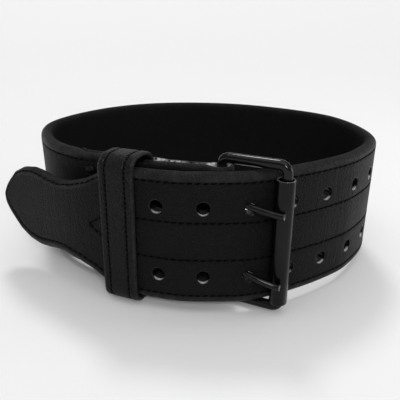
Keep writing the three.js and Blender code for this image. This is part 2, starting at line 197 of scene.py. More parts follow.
# Shares of the taper between which the outline's row moves out to the edge rows' inset, and between
# which the rows come down to the tongue's middle
INSET_SHARES = (0.8, 1)
RISE_SHARES = (0.82, 1.05)

# Places across a groove that get points, in shares of its width
GROOVE_SHARES = (1, 0.6, 0.25, 0, -0.25, -0.6, -1)

# Wrinkles: where they grow and fade, from the tongue's tip and, for the last pair, from the heel bar
TONGUE_WRINKLES_IN = (20, 60)
TONGUE_WRINKLES_OUT = (112, 154)
BEND_WRINKLES_IN = (255, 300)
BEND_WRINKLES_OUT = (200, 260)
WRINKLE_STRENGTH = 2

# Raw fibres inside the fold: where they fade at the heel bar and beside the keeper, how far round a
# rim they go, and the share of the half height where they start at the top
FIBRES_AT_HEEL = (8, 16)
FIBRES_BESIDE = (24, 34)
FIBRES_FADE = 10
FIBRES_UNDER_KEEPER = 0.2
FIBRES_ROUND_RIM = (0.5, 0.9)
FIBRES_HEIGHTS = (0.6, 0.85)

# Stations
WALK_SAMPLES = 4000
HEEL_STEPS = 8
LEG_STEPS = 54
BEND_STEPS = 18
BODY_STEPS = 300
TONGUE_STEPS = 84
NOSE_STEPS = 22
NOSE_LENGTH = 12
NOSE_CROWDING = 1.6
RIM_STEPS = 10
RIM_FILL = 2
FACE_FILL = 6
FACE_LEVELS = 2 * len(GROOVE_SHARES) + RIM_FILL + FACE_FILL
FLARE_STEPS = 4
CORNER_STEPS = 12
LEAN_SAMPLES = 400

# Where a face is narrow its points keep their order: the outer row's greatest share of the flat, the
# inner row's of the outer one's height, a groove's of the room beside it, and the least gap between
# the middle and the inner row's groove
OUTER_SHARE = 0.88
INNER_SHARE = 0.6
ROOM_SHARE = 0.9
ROW_GAP = 0.2

# Search for the places beside the heel bar: where it starts, as a share of the strap, and its steps
SEARCH_START = 0.7
SEARCH_STEP = 0.25
ROLLER_STEP = 0.1

# Facets of the round pieces
HOLE_FACETS = 40
SLOT_FACETS = 32
BORE_FACETS = 16
WIRE_FACETS = 32
ROLLER_FACETS = 48
PRONG_FACETS = 24
RIVET_FACETS = 32
FLOOR_FACETS = 96

# Radius that stands for none, so that a turned end keeps its ring of corners
CENTRE = 0.01

LEAN_DIRECTION = math.radians(99.5)

# Floor: radius and height in metres, flat under the belt and rising gently far from it
FLOOR_PROFILE = ((1.5, 0), (2, 0.01), (2.5, 0.05), (3, 0.12), (4, 0.32), (14, 2.4))

# Camera: millimetres on the level belt, and degrees that it looks down
CAMERA_PLACE = (-3.5, -428, 205.27)
CAMERA_PITCH = 22.29

# Lamps: name, place in metres, sides in metres, and share of the side light
LAMPS = (
    ("Left lamp", (-0.8, -0.45, 0.2), (0.25, 0.25), 0.06),
    ("Right lamp", (0.85, 0, 0.24), (0.2, 0.3), 1),
)
LAMP_TARGET = Vector((0, 0, 0.06))
LAMP_COLOUR = (0.97, 0.95, 1)

# Suns: degrees of width, tilt and roll of the sky, then name, share of the key light and the same
# degrees of the narrow ones
SKY_ANGLES = (70, 2, 0)
KEYS = (
    ("Back key", 1.9, 12, -34, -5),
    ("Front key", 2.2, 17, 50, 14),
)

# Middle line of the strap: degrees clockwise from the front, share of half the loop's width, and
# share of the step outwards over the fold
ROUTE = (
    (-6.3, 0.751, 0), (5.9, 0.71, 0), (18.8, 0.7, 0), (38.8, 0.729, 0), (56.4, 0.84, 0),
    (75, 0.936, 0), (98, 1.01, 0), (127, 0.945, 0), (153.3, 0.876, 0), (187.4, 0.801, 0),
    (217.4, 0.813, 0), (250.8, 0.939, 0), (281.9, 1.007, 0), (303, 0.957, 0),
    (315.6, 0.916, 0), (332.4, 0.843, 0.35), (345.4, 0.789, 0.8), (354, 0.753, 1),
    (370.2, 0.75, 1), (402.4, 0.797, 1), (423, 0.911, 1), (437.4, 1.098, 1),
)

# Outline of the tongue: share of the taper from the tip, and share of half the band's width
TONGUE = (
    (0, 0), (0.004, 0.05), (0.012, 0.1), (0.03, 0.18), (0.055, 0.28), (0.09, 0.38),
    (0.15, 0.53), (0.23, 0.635), (0.32, 0.675), (0.4, 0.655), (0.48, 0.615), (0.56, 0.605),
    (0.65, 0.65), (0.75, 0.735), (0.85, 0.88), (0.93, 0.97), (1, 1),
)

DOME = ((1, 0), (0.99, 0.2), (0.94, 0.42), (0.84, 0.63), (0.7, 0.79), (0.52, 0.9), (0.3, 0.97), (0, 1))

# Lighter tones, as multiples of a colour: in the leather, its lining, the metal and the thread
LEATHER_TONE = 1.45
LINING_TONE = 1.25
METAL_TONE = 1.8
THREAD_TONE = 2.4
# Pale bare metal at marked edges, partly wear and partly a painted highlight
BARE_METAL_AND_GLINT = (0.3, 0.3, 0.305)

UP = Vector((0, 0, 1))

# Derived sizes
half_loop = LOOP_WIDTH / 2
half_band = BAND_THICKNESS / 2
middle = BAND_WIDTH / 2
parting_line = -(OUTER_LEG - INNER_LEG) / 2
fold_bore = WIRE / 2 + SEAT_GAP
wrap_step = parting_line + fold_bore + OUTER_LEG + TONGUE_CLEAR + half_band


def mix(start, end, share):
    return start + (end - start) * share


def ease(value, start, end):
    share = min(max((value - start) / (end - start), 0), 1)
    return share * share * (3 - 2 * share)


def steps(start, end, count):
    return [mix(start, end, place / count) for place in range(count + 1)]


def read_table(rows, place):
    """Reads the second column at a place along the first, with its end values past the ends."""
    if place <= rows[0][0]:
        return rows[0][1]
    for before, after in zip(rows, rows[1:]):
        if place <= after[0]:
            return mix(before[1], after[1], (place - before[0]) / (after[0] - before[0]))
    return rows[-1][1]


def smooth_line(points, count):
    """Points along a centripetal spline, evenly spaced in its parameter."""
    padded = [points[0] * 2 - points[1], *points, points[-1] * 2 - points[-2]]
    made = []
    spans = len(points) - 1
    for place in range(count + 1):
        position = spans * place / count
        span = min(int(position), spans - 1)
        share = position - span
        p0, p1, p2, p3 = padded[span:span + 4]
        d0 = math.sqrt((p1 - p0).length)
        d1 = math.sqrt((p2 - p1).length)
        d2 = math.sqrt((p3 - p2).length)
        leave = ((p1 - p0) / d0 - (p2 - p0) / (d0 + d1) + (p2 - p1) / d1) * d1
        arrive = ((p2 - p1) / d1 - (p3 - p1) / (d1 + d2) + (p3 - p2) / d2) * d1
        square = (p2 - p1) * 3 - leave * 2 - arrive
        cube = (p1 - p2) * 2 + leave + arrive
        made.append(p1 + leave * share + square * share ** 2 + cube * share ** 3)
    return made


def route_point(turn, reach, wrap):
    angle = math.radians(-90 - turn)
    distance = reach * half_loop + wrap * wrap_step
    return Vector((math.cos(angle) * distance, math.sin(angle) * distance, 0))


route = smooth_line([route_point(*row) for row in ROUTE], WALK_SAMPLES)
route_marks = [0.0]
for here, after in zip(route, route[1:]):
    route_marks.append(route_marks[-1] + (after - here).length)
route_length = route_marks[-1]


def walk(distance):
    """Point, direction of travel and outward direction at a distance from the heel bar."""
    distance = min(max(distance, 0), route_length)
    low = 0
    high = WALK_SAMPLES
    while high - low > 1:
        centre = (low + high) // 2
        if route_marks[centre] <= distance:
            low = centre
        else:
            high = centre
    share = (distance - route_marks[low]) / (route_marks[high] - route_marks[low])
    before = route[max(low - 1, 0)]
    after = route[min(high + 1, WALK_SAMPLES)]
    along = (after - before).normalized()
    return route[low].lerp(route[high], share), along, Vector((-along.y, along.x, 0))


def offset_point(distance, offset):
    point, _, outward = walk(distance)
    return point + outward * offset


def nearest_on_tongue(target):
    start = route_length * SEARCH_START
    count = int((route_length - start) / SEARCH_STEP)
    places = [start + place * SEARCH_STEP for place in range(count)]
    return min(places, key=lambda place: (walk(place)[0] - target).length)


heel_bar = offset_point(0, parting_line)
heel_under_tongue = nearest_on_tongue(heel_bar)
roller_offset = half_band + SEAT_GAP + ROLLER_DIAMETER / 2
roller_beside = heel_under_tongue
while (offset_point(roller_beside, roller_offset) - heel_bar).length < BUCKLE_LENGTH:
    roller_beside -= ROLLER_STEP
roller_axis = offset_point(roller_beside, roller_offset)
buckled_hole_at = mix(heel_under_tongue, roller_beside, PRONG_HOLE_SHARE)
keeper_beside = nearest_on_tongue(walk(KEEPER_AT)[0])
keeper_span = (walk(keeper_beside)[0] - offset_point(KEEPER_AT, parting_line)).length
row_heights = (middle - ROW_DROP + ROW_SPACING / 2, middle - ROW_DROP - ROW_SPACING / 2)

# The lean of the belt, and its place, read from the roller's solid
lean = Vector((math.cos(LEAN_DIRECTION), math.sin(LEAN_DIRECTION), 0))
back_reach = max(walk(distance)[0].dot(lean) for distance in steps(0, route_length, LEAN_SAMPLES))
arm_reach = heel_bar.dot(lean) - BUCKLE_CORNER / 2
lean_angle = math.atan((BUCKLE_SLACK_BELOW + WIRE) / (back_reach - arm_reach))
lean_turn = Quaternion((-lean.y, lean.x, 0), lean_angle)
roller_foot = BUCKLE_CORNER - BUCKLE_SLACK_BELOW - WIRE / 2 - ROLLER_SINK
roller_low, roller_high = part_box("buckle_roller")
roller_middle = roller_axis + UP * (roller_foot + ROLLER_LENGTH / 2)
belt_place = (roller_low + roller_high) * 500 - lean_turn @ roller_middle


def placed(point):
    """A point of the level belt, in millimetres, as it stands in the frame, in metres."""
    return (lean_turn @ point + belt_place) * 0.001


def number_setting(name, description, default, least, unit="NONE"):
    """A number in the panel."""
    return bpy.props.FloatProperty(
        name=name, description=description, default=default, min=least, unit=unit,
    )


def colour_setting(name, description, default):
    """A colour in the panel."""
    return bpy.props.FloatVectorProperty(
        name=name, description=description, default=default, subtype="COLOR",
    )


class BeltSizes(bpy.types.PropertyGroup):
    """Sizes of the stitches and of the leather's relief."""

    stitch_pitch: number_setting(
        "Stitch pitch", "Distance from one stitch to the next", 0.0054, 0.003, "LENGTH",
    )
    stitch_length: number_setting(
        "Stitch length", "Length of the thread that shows in one stitch", 0.0043, 0.001, "LENGTH",
    )
    thread: number_setting("Thread", "Diameter of the thread", 0.0013, 0.0003, "LENGTH")
    grain_scale: number_setting("Grain scale", "Cells of the leather's grain in one metre", 520, 50)
    grain_depth: number_setting("Grain depth", "Height of the leather's grain", 0.00045, 0, "LENGTH")


class BeltColours(bpy.types.PropertyGroup):
    """Colours of the leather, its rims, the thread and the metal."""

    leather: colour_setting("Leather", "Colour of the grain side", (0.0042, 0.0042, 0.0044))
    # The rims' lighter colour is partly their burnished finish and partly a painted highlight.
    rim: colour_setting("Rims", "Colour of the rounded, burnished rims", (0.019, 0.019, 0.0195))
    keeper: colour_setting("Keeper", "Colour of the keeper's leather", (0.0046, 0.0045, 0.0053))
    thread: colour_setting("Thread", "Colour of the waxed thread", (0.0004, 0.0004, 0.0004))
    flesh: colour_setting(
        "Flesh side", "Colour of the pale raw fibres inside the fold", (0.8, 0.79, 0.78),
    )
    metal: colour_setting("Metal", "Colour of the black coated steel", (0.0105, 0.0105, 0.011))


class BeltStudio(bpy.types.PropertyGroup):
    """The studio round the belt."""

    floor: colour_setting("Floor", "Colour of the floor", (0.8, 0.8, 0.8))
    room_light: number_setting("Room light", "Strength of the light from all round", 0.26, 0)
    sky_light: number_setting("Sky light", "Strength of the wide even light from above", 1.15, 0)
    side_light: number_setting(
        "Side light", "Power of the lamp to the right of the belt, which the left lamp has a share of",
        1.1, 0, "POWER",
    )
    key_light: number_setting(
        "Key light", "Strength that the narrower lights from the back and the front are multiples of",
        0.5, 0,
    )
    lens: number_setting("Lens", "Focal length of the camera, in millimetres", 43.07, 10)


def add_object(name, data):
    holder = bpy.data.objects.new(name, data)
    bpy.context.scene.collection.objects.link(holder)
    return holder


def add_piece(name, corners, faces, material):
    """A smooth object of one material, from corners in metres and faces."""
    mesh = bpy.data.meshes.new(name)
    mesh.from_pydata(corners, [], faces)
    mesh.validate()
    mesh.shade_smooth()
    mesh.materials.append(material)
    return add_object(name, mesh)


def ring_faces(start, count, rings, closed):
    """Faces between rings of equal numbers of corners, with flat ends where they aren't closed."""
    faces = []
    for ring in range(rings if closed else rings - 1):
        here = start + ring * count
        after = start + ((ring + 1) % rings) * count
        for corner in range(count):
            beside = (corner + 1) % count
            faces.append((here + corner, here + beside, after + beside, after + corner))
    if not closed:
        last = start + (rings - 1) * count
        faces.append(tuple(start + corner for corner in reversed(range(count))))
        faces.append(tuple(last + corner for corner in range(count)))
    return faces


def make_object(name, rings, closed, material, marks=None):
    """A body through a row of rings, in millimetres, with marks that its material reads."""
    corners = [placed(point) for ring in rings for point in ring]
    faces = ring_faces(0, len(rings[0]), len(rings), closed)
    piece = add_piece(name, corners, faces, material)
    for mark, values in (marks or {}).items():
        layer = piece.data.attributes.new(mark, "FLOAT", "POINT")
        layer.data.foreach_set("value", values)
    return piece


def join(name, pieces, material):
    """One object from several, which are taken away."""
    corners = []
    faces = []
    for piece in pieces:
        start = len(corners)
        corners.extend(vertex.co.copy() for vertex in piece.data.vertices)
        faces.extend(tuple(start + corner for corner in face.vertices) for face in piece.data.polygons)
        drop(piece)
    return add_piece(name, corners, faces, material)


def drop(piece):
    mesh = piece.data
    bpy.data.objects.remove(piece)
    bpy.data.meshes.remove(mesh)


def combine(piece, tool, operation):
    """Joins a body to a piece, or cuts it out of it."""
    modifier = piece.modifiers.new(operation.title(), "BOOLEAN")
    modifier.operation = operation
    modifier.solver = "MANIFOLD"
    modifier.object = tool
    bpy.context.view_layer.update()
    graph = bpy.context.evaluated_depsgraph_get()
    made = bpy.data.meshes.new_from_object(piece.evaluated_get(graph))
    old = piece.data
    piece.modifiers.clear()
    piece.data = made
    bpy.data.meshes.remove(old)
    drop(tool)
    return piece


def finish_piece(piece, slot, *nodes, crease=35):
    """Gives a piece its creases and its body, and hides the solids that it stands for; the slot is not
    used.
    """
    piece.data.shade_smooth()
    piece.data.set_sharp_from_angle(angle=math.radians(crease))
    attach(piece, "root")
    if nodes:
        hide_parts(*nodes)


def bar_rings(points, radii, facets, side, closed=False):
    """Rings of a round bar along a line; radii may differ from point to point."""
    count = len(points)
    rings = []
    for place, point in enumerate(points):
        before = points[place - 1] if closed or place else point
        after = points[(place + 1) % count] if closed or place < count - 1 else point
        along = (after - before).normalized()
        across = side.cross(along).normalized()
        upright = along.cross(across)
        ring = []
        for facet in range(facets):
            angle = 2 * math.pi * facet / facets
            ring.append(point + (across * math.cos(angle) + upright * math.sin(angle)) * radii[place])
        rings.append(ring)
    return rings


def turned_rings(profile, facets, centre, axis):
    """Rings of a body turned round an axis, from rows of radius and height."""
    turn = UP.rotation_difference(axis)
    rings = []
    for radius, height in profile:
        ring = []
        for facet in range(facets):
            angle = 2 * math.pi * facet / facets
            local = Vector((math.cos(angle) * radius, math.sin(angle) * radius, height))
            ring.append(centre + turn @ local)
        rings.append(ring)
    return rings


# Faces of the fold and the band


def leg_opening(distance):
    """Half of the opening between the two legs of the fold."""
    closed = SEAT_GAP / 2
    at_heel = (fold_bore - closed) * (1 - ease(distance, 0, HEEL_WEDGE))
    from_keeper = abs(distance - KEEPER_AT) - KEEPER_WIDTH / 2
    wedge = 1 - ease(from_keeper, KEEPER_SEAT_MARGIN, KEEPER_WEDGE)
    at_keeper = (KEEPER_THICKNESS / 2 + SEAT_GAP - closed) * wedge
    return closed + max(at_heel, at_keeper)


def skive(distance):
    return ease(distance, FLAP_LENGTH - SKIVE_LENGTH, FLAP_LENGTH)


def band_faces(distance):
    opening = parting_line + leg_opening(distance)
    near = mix(opening, -half_band, skive(distance))
    far = mix(opening + OUTER_LEG, half_band, skive(distance))
    return near, far


def flap_faces(distance):
    near = band_faces(distance)[0] - 2 * leg_opening(distance)
    return near, near - mix(INNER_LEG, FLAP_TIP, skive(distance))


def tongue_half(back):
    return middle * read_table(TONGUE, back / TONGUE_TAPER)


def contour_row():
    """The stitch row that follows the tongue's outline: rows of distance from the tip and height."""
    places = steps(0, TONGUE_TAPER, CONTOUR_STEPS)
    row = []
    for place, back in enumerate(places[1:-1], 1):
        rise = tongue_half(places[place + 1]) - tongue_half(places[place - 1])
        run = places[place + 1] - places[place - 1]
        size = math.hypot(rise, run)
        inset = mix(TONGUE_ROW_INSET, EDGE_ROW_INSET, ease(back / TONGUE_TAPER, *INSET_SHARES))
        there = back + inset * rise / size
        half = tongue_half(back) - inset * run / size
        if half > 0 and there > TONGUE_ROW_INSET:
            row.append((there, half))
    row.sort()
    kept = [(TONGUE_ROW_INSET, 0)]
    for there, half in row:
        if there - kept[-1][0] > CONTOUR_GAP:
            kept.append((there, half))
    return kept


contour = contour_row()


def edge_row(back):
    """Half height of the edge rows at a distance from the tip."""
    if back >= TONGUE_TAPER:
        return middle - EDGE_ROW_INSET
    return read_table(contour, back)


def middle_row(back):
    """Half height of the middle rows, which come together before the tongue."""
    if back <= MIDDLE_ROW_END:
        return 0
    share = min((back - MIDDLE_ROW_END) / MIDDLE_ROW_BEND, 1)
    return MIDDLE_ROW * share


def row_rise(back):
    """How far the rows on the tongue lie above its middle."""
    return TONGUE_ROW_RISE * (1 - ease(back / TONGUE_TAPER, *RISE_SHARES))


def groove(back, height):
    """Depth of the groove that the stitches pull into a face."""
    level = abs(height - middle - row_rise(back))
    away = abs(level - edge_row(back)) if back > TONGUE_ROW_INSET else GROOVE_WIDTH
    if back > MIDDLE_ROW_END:
        away = min(away, abs(level - middle_row(back)))
    if away >= GROOVE_WIDTH:
        return 0
    return GROOVE_DEPTH * (1 - (away / GROOVE_WIDTH) ** 2) ** 2


def face_levels(back, flat):
    """Half heights of a face's points from its rim to the middle, close together at the rows."""
    edge = min(edge_row(back), flat * OUTER_SHARE)
    inner = min(max(middle_row(back), GROOVE_WIDTH + ROW_GAP), edge * INNER_SHARE)
    width = min(GROOVE_WIDTH, (flat - edge) * ROOM_SHARE, inner * ROOM_SHARE)
    stops = []
    for row in (edge, inner):
        stops.extend(row + width * share for share in GROOVE_SHARES)
    fill = steps(flat, edge + width, RIM_FILL)[:-1]
    between = steps(edge - width, inner + width, FACE_FILL)[1:-1]
    count = len(GROOVE_SHARES)
    return [*fill, *stops[:count], *between, *stops[count:], 0]


def slab_ring(origin, direction, near, far, half, back, grooved):
    """One cross-section: a slab between two faces with half-round rims, and its marks."""
    thick = abs(far - near) / 2
    centre = (near + far) / 2
    side = math.copysign(1, far - near)
    rim = min(thick, half)
    flat = max(half - rim, 0.0)
    if flat > 1:
        levels = face_levels(back, flat)[1:]
    else:
        levels = steps(flat, 0, FACE_LEVELS - 1)[1:]
    downward = [*levels, *[-level for level in levels[-2::-1]]]
    ring = []
    rims = []
    nears = []

    def add(reach, height, rim_mark, near_mark):
        ring.append(origin + direction * reach + UP * (middle + height))
        rims.append(rim_mark)
        raw = ease(near_mark, *FIBRES_ROUND_RIM) if rim_mark else near_mark
        nears.append((near_mark, raw * ease(height / half, *FIBRES_HEIGHTS)))

    for top in (1, -1):
        for step in range(RIM_STEPS + 1):
            angle = math.pi * step / RIM_STEPS
            reach = centre + top * side * thick * math.cos(angle)
            near_mark = (1 - top * math.cos(angle)) / 2
            add(reach, top * (flat + rim * math.sin(angle)), 1, near_mark)
        for level in downward:
            height = level * top
            depth = groove(back, middle + height) if grooved and top == -1 else 0
            reach = centre - top * side * (thick - min(depth, thick / 2))
            add(reach, height, 0, 1 if top == 1 else 0)
    return ring, rims, nears


def wrinkle_share(back):
    """How strongly the leather is wrinkled across, which is on the tongue and where the strap bends."""
    tongue = ease(back, *TONGUE_WRINKLES_IN) * (1 - ease(back, *TONGUE_WRINKLES_OUT))
    bends = ease(back, *BEND_WRINKLES_IN) * ease(route_length - back, *BEND_WRINKLES_OUT)
    return WRINKLE_STRENGTH * max(tongue, bends)


def flesh_share(distance):
    """How far the pale fibres show inside the fold: beside the keeper and at the heel bar."""
    beside = ease(distance, *FIBRES_BESIDE) * (1 - ease(distance, KEEPER_AT - FIBRES_FADE, KEEPER_AT))
    heel = 1 - ease(distance, *FIBRES_AT_HEEL)
    under = FIBRES_UNDER_KEEPER * (1 - ease(distance, KEEPER_AT, KEEPER_AT + FIBRES_FADE))
    return max(beside, heel, under)


def strap_rings():
    """The whole strap: flap, bend round the heel bar, outer leg, body and tongue."""
    rings = []
    marks = {"rim": [], "flesh": [], "lining": [], "wrinkle": []}
    flat_back = route_length

    def take(section, flesh, lining_near, lining_far, wrinkle=0):
        ring, rims, nears = section
        rings.append(ring)
        marks["wrinkle"].extend([wrinkle] * len(ring))
        marks["rim"].extend(rims)
        marks["flesh"].extend(raw * flesh for near, raw in nears)
        marks["lining"].extend(mix(lining_far, lining_near, near) for near, raw in nears)

    fold_half = middle - FOLD_TRIM
    leg = [*steps(0, HEEL_WEDGE, HEEL_STEPS), *steps(HEEL_WEDGE, FLAP_LENGTH, LEG_STEPS)[1:]]
    for distance in reversed(leg):
        point, _, outward = walk(distance)
        near, far = flap_faces(distance)
        flesh = flesh_share(distance)
        take(slab_ring(point, outward, near, far, fold_half, flat_back, False), flesh, 0, 1)
    _, along, outward = walk(0)
    for share in steps(1, 0, BEND_STEPS)[1:-1]:
        angle = math.pi * share
        direction = outward * math.cos(angle) - along * math.sin(angle)
        far = fold_bore + mix(OUTER_LEG, INNER_LEG, share)
        take(slab_ring(heel_bar, direction, fold_bore, far, fold_half, flat_back, False), 1, 0, 0)
    for distance in leg:
        point, _, outward = walk(distance)
        near, far = band_faces(distance)
        half = middle - FOLD_TRIM * (1 - skive(distance))
        flesh = flesh_share(distance)
        take(slab_ring(point, outward, near, far, half, flat_back, True), flesh, 1, 0)
    taper_start = route_length - TONGUE_TAPER
    body = steps(FLAP_LENGTH, taper_start, BODY_STEPS)[1:]
    tongue = steps(TONGUE_TAPER, NOSE_LENGTH, TONGUE_STEPS)[1:]
    nose = [NOSE_LENGTH * (1 - share) ** NOSE_CROWDING for share in steps(0, 1, NOSE_STEPS)[1:-1]]
    for back in [*(route_length - distance for distance in body), *tongue, *nose]:
        point, _, outward = walk(route_length - back)
        half = tongue_half(back) if back < TONGUE_TAPER else middle
        cut = max(0, 1 - back / NOSE_ROUNDING)
        thin = half_band * math.sqrt(1 - cut * cut)
        take(slab_ring(point, outward, -thin, thin, half, back, True), 0, 1, 0, wrinkle_share(back))
    return rings, marks


def prong_line(row, droop):
    """Middle line of a prong, from the heel bar through its hole and onto the roller."""
    hole, _, outward = walk(buckled_hole_at)
    axis = (roller_axis - heel_bar).normalized()
    away = Vector((axis.y, -axis.x, 0))
    rest = roller_axis + away * (ROLLER_DIAMETER / 2 + PRONG_OVER_ROLLER + PRONG / 2)
    face = hole + outward * (half_band + PRONG / 4)
    inside = face.lerp(heel_bar, 0.5)
    tip = rest + axis * PRONG_TIP
    start = heel_bar.lerp(face, (fold_bore + PRONG_EYE_WALL / 2) / (heel_bar - face).length)
    start.z = row + PRONG_EYE_LIFT
    inside.z = row + mix(PRONG_EYE_LIFT, PRONG_HOLE_LIFT, 0.5)
    face.z = row + PRONG_HOLE_LIFT
    rest.z = row - droop
    tip.z = row - droop
    return smooth_line([start, inside, face, rest, tip], PRONG_SAMPLES)


PRONGS = (
    ("upper", row_heights[0], UPPER_PRONG_DROOP),
    ("lower", row_heights[1], LOWER_PRONG_DROOP),
)


def flare(radius):
    """Rounded mouth of a hole, as rows of radius and height above the strap's middle line."""
    rows = [(radius + 2 * HOLE_FLARE, half_band + HOLE_FLARE)]
    for share in steps(0, 1, FLARE_STEPS):
        angle = share * math.pi / 2
        out = radius + HOLE_FLARE * (1 - math.sin(angle))
        rows.append((out, half_band - HOLE_FLARE * (1 - math.cos(angle))))
    return rows


def punch(name, profile, pairs, material, sink=0):
    """Bodies of one profile at the holes of some pairs."""
    cutters = []
    for pair in pairs:
        point, _, outward = walk(buckled_hole_at + (BUCKLED_PAIR - pair) * HOLE_PITCH)
        for row in row_heights:
            rings = turned_rings(profile, HOLE_FACETS, point + UP * (row - sink), outward)
            cutters.append(make_object("cut", rings, False, material))
    return join(name, cutters, material)


def hole_cutters(material, pairs, diameter, sink):
    """Bodies of the holes of some pairs, with rounded mouths."""
    mouth = flare(diameter / 2)
    profile = [*[(out, -rise) for out, rise in mouth], *reversed(mouth)]
    return punch("hole_cutters", profile, pairs, material, sink)


def mouth_cutters(material, pairs):
    """Shallow bodies that line the outer mouths of some pairs of holes with another material, whose
    upward walls carry the bright painted highlight.
    """
    radius = HOLE_DIAMETER / 2 + MOUTH_CUT
    profile = [(radius, half_band - MOUTH_DEPTH), *reversed(flare(radius))]
    return punch("mouth_cutters", profile, pairs, material)


def fold_cutters(material):
    """Bodies of the prong slots and rivet bores."""
    cutters = []
    slot_reach = fold_bore + OUTER_LEG + SEAT_GAP
    for row in row_heights:
        foot = heel_bar + UP * (row + PRONG_EYE_LIFT - PRONG / 4 - SLOT_HEIGHT / 2)
        profile = ((CENTRE, 0), (slot_reach, 0), (slot_reach, SLOT_HEIGHT), (CENTRE, SLOT_HEIGHT))
        rings = turned_rings(profile, SLOT_FACETS, foot, UP)
        cutters.append(make_object("cut", rings, False, material))
    for height in (BAND_WIDTH - RIVET_INSET, RIVET_INSET):
        point, _, outward = walk(RIVET_AT)
        bore = RIVET_SHANK / 2 + SEAT_GAP
        profile = ((bore, -1.5 * BAND_THICKNESS), (bore, 1.5 * BAND_THICKNESS))
        rings = turned_rings(profile, BORE_FACETS, point + UP * height, outward)
        cutters.append(make_object("cut", rings, False, material))
    return join("fold_cutters", cutters, material)


def prong_cutters(material):
    """Bodies of the prongs' ways through the fold and the strap."""
    cutters = []
    for _, row, droop in PRONGS:
        line = prong_line(row, droop)
        rings = bar_rings(line, [PRONG / 2 + CUT_GAP] * len(line), BORE_FACETS, UP)
        cutters.append(make_object("cut", rings, False, material))
    return join("prong_cutters", cutters, material)


def make_stitches(name, paths, material, fineness):
    """Short threads laid end to end along paths of point and face direction."""
    sizes = bpy.context.scene.belt_sizes
    pitch = sizes.stitch_pitch * 1000 * fineness
    length = sizes.stitch_length * 1000 * fineness
    radius = sizes.thread * 500 * (0.5 + 0.5 * fineness)
    corners = []
    faces = []
    for path in paths:
        marks = [0.0]
        for here, after in zip(path, path[1:]):
            marks.append(marks[-1] + (after[0] - here[0]).length)
        count = int(marks[-1] / pitch)
        spot = 0
        for stitch in range(count):
            target = (stitch + 0.5) * marks[-1] / max(count, 1)
            while marks[spot + 1] < target:
                spot += 1
            share = (target - marks[spot]) / (marks[spot + 1] - marks[spot])
            point = path[spot][0].lerp(path[spot + 1][0], share)
            out = path[spot][1].lerp(path[spot + 1][1], share).normalized()
            along = (path[spot + 1][0] - path[spot][0]).normalized()
            side = out.cross(along).normalized()
            along = (along + side * STITCH_SKEW).normalized()
            side = out.cross(along).normalized()
            start = len(corners)
            for step, size, lift in STITCH_SHAPE:
                for corner in range(STITCH_FACETS):
                    angle = 2 * math.pi * corner / STITCH_FACETS
                    rise = out * (math.sin(angle) * size + lift) * radius
                    across = side * math.cos(angle) * size * radius
                    corners.append(placed(point + along * (step * length) + across + rise))
            faces.extend(ring_faces(start, STITCH_FACETS, len(STITCH_SHAPE), False))
    return add_piece(name, corners, faces, material)


def strap_paths():
    """Stitch rows of the strap on its outer face."""
    seat = GROOVE_DEPTH * STRAP_SEAT

    def spot(distance, height, sunk=seat):
        point, _, outward = walk(distance)
        far = band_faces(distance)[1] if distance < FLAP_LENGTH else half_band
        return point + outward * (far - sunk) + UP * height, outward

    body = steps(ROW_START, route_length - TONGUE_TAPER, ROW_STEPS)
    edge = [(route_length - distance, middle - EDGE_ROW_INSET) for distance in body]
    edge.extend(reversed(contour))
    edge.extend((back, -half) for back, half in contour[1:])
    edge.extend((route_length - distance, EDGE_ROW_INSET - middle) for distance in reversed(body))
    paths = [[spot(route_length - back, middle + half + row_rise(back)) for back, half in edge]]
    start = route_length - MIDDLE_ROW_END - MIDDLE_ROW_BEND
    inner = [(distance, MIDDLE_ROW) for distance in steps(ROW_START, start, ROW_STEPS)]
    for share in steps(0, 1, ARROW_STEPS)[1:]:
        inner.append((start + MIDDLE_ROW_BEND * share, MIDDLE_ROW * (1 - share)))
    lower = [(distance, -half) for distance, half in reversed(inner[:-1])]
    for row in (inner, [inner[-1], *lower]):
        spots = []
        for distance, half in row:
            level = middle + half + row_rise(route_length - distance)
            spots.append(spot(distance, level, seat if distance < start else ARROW_SEAT))
        paths.append(spots)
    return paths


def keeper_line():
    """The keeper's middle line: rows of its reach, its height and its outward direction."""
    thick = KEEPER_THICKNESS / 2
    outer = keeper_span + half_band + SEAT_GAP + thick
    top = BAND_WIDTH + KEEPER_SLACK_ABOVE + thick
    bottom = -KEEPER_SLACK_BELOW - thick
    crown = KEEPER_CROWN
    rise = KEEPER_CROWN_RISE
    bend = KEEPER_TOP_BEND
    lower = KEEPER_LOWER_BEND
    tuck = KEEPER_TUCK_BEND
    # Each bend: its middle, its two radii, the quarter turn that it starts at, and its steps
    bends = (
        (crown, top - rise, crown, rise, 2, 14),
        (outer - bend, top - bend, bend, bend, 1, 12),
        (outer - lower, bottom + lower, lower, lower, 0, 14),
        (tuck, bottom + tuck, tuck, tuck, -1, 6),
    )
    corners = []
    for across, rise, radius_across, radius_rise, quarter, count in bends:
        for angle in steps(quarter * math.pi / 2, (quarter - 1) * math.pi / 2, count):
            reach = across + radius_across * math.cos(angle)
            corners.append((reach, rise + radius_rise * math.sin(angle)))
    line = []
    for place, here in enumerate(corners):
        after = corners[(place + 1) % len(corners)]
        size = math.dist(here, after)
        if size < KEEPER_LEAST_STEP:
            continue
        line.append(here)
        extra = int(size / KEEPER_STEP) + 1
        for step in range(1, extra):
            share = step / extra
            line.append((mix(here[0], after[0], share), mix(here[1], after[1], share)))
    rows = []
    for place, (reach, height) in enumerate(line):
        before = line[place - 1]
        after = line[(place + 1) % len(line)]
        rise = after[0] - before[0]
        run = after[1] - before[1]
        size = math.hypot(rise, run)
        rows.append((reach, height, -run / size, rise / size))
    return rows


def keeper_spot(row, lift, across):
    """Point of the keeper at a row of its line, lifted off it and aside from its middle."""
    reach = row[0] + row[2] * lift
    height = row[1] + row[3] * lift
    across += KEEPER_SLANT * reach / keeper_span * (middle - height) / BAND_WIDTH
    inner = offset_point(KEEPER_AT + across, parting_line)
    outer = walk(keeper_beside + across)[0]
    spot = inner.lerp(outer, reach / keeper_span)
    spot.z = height
    return spot


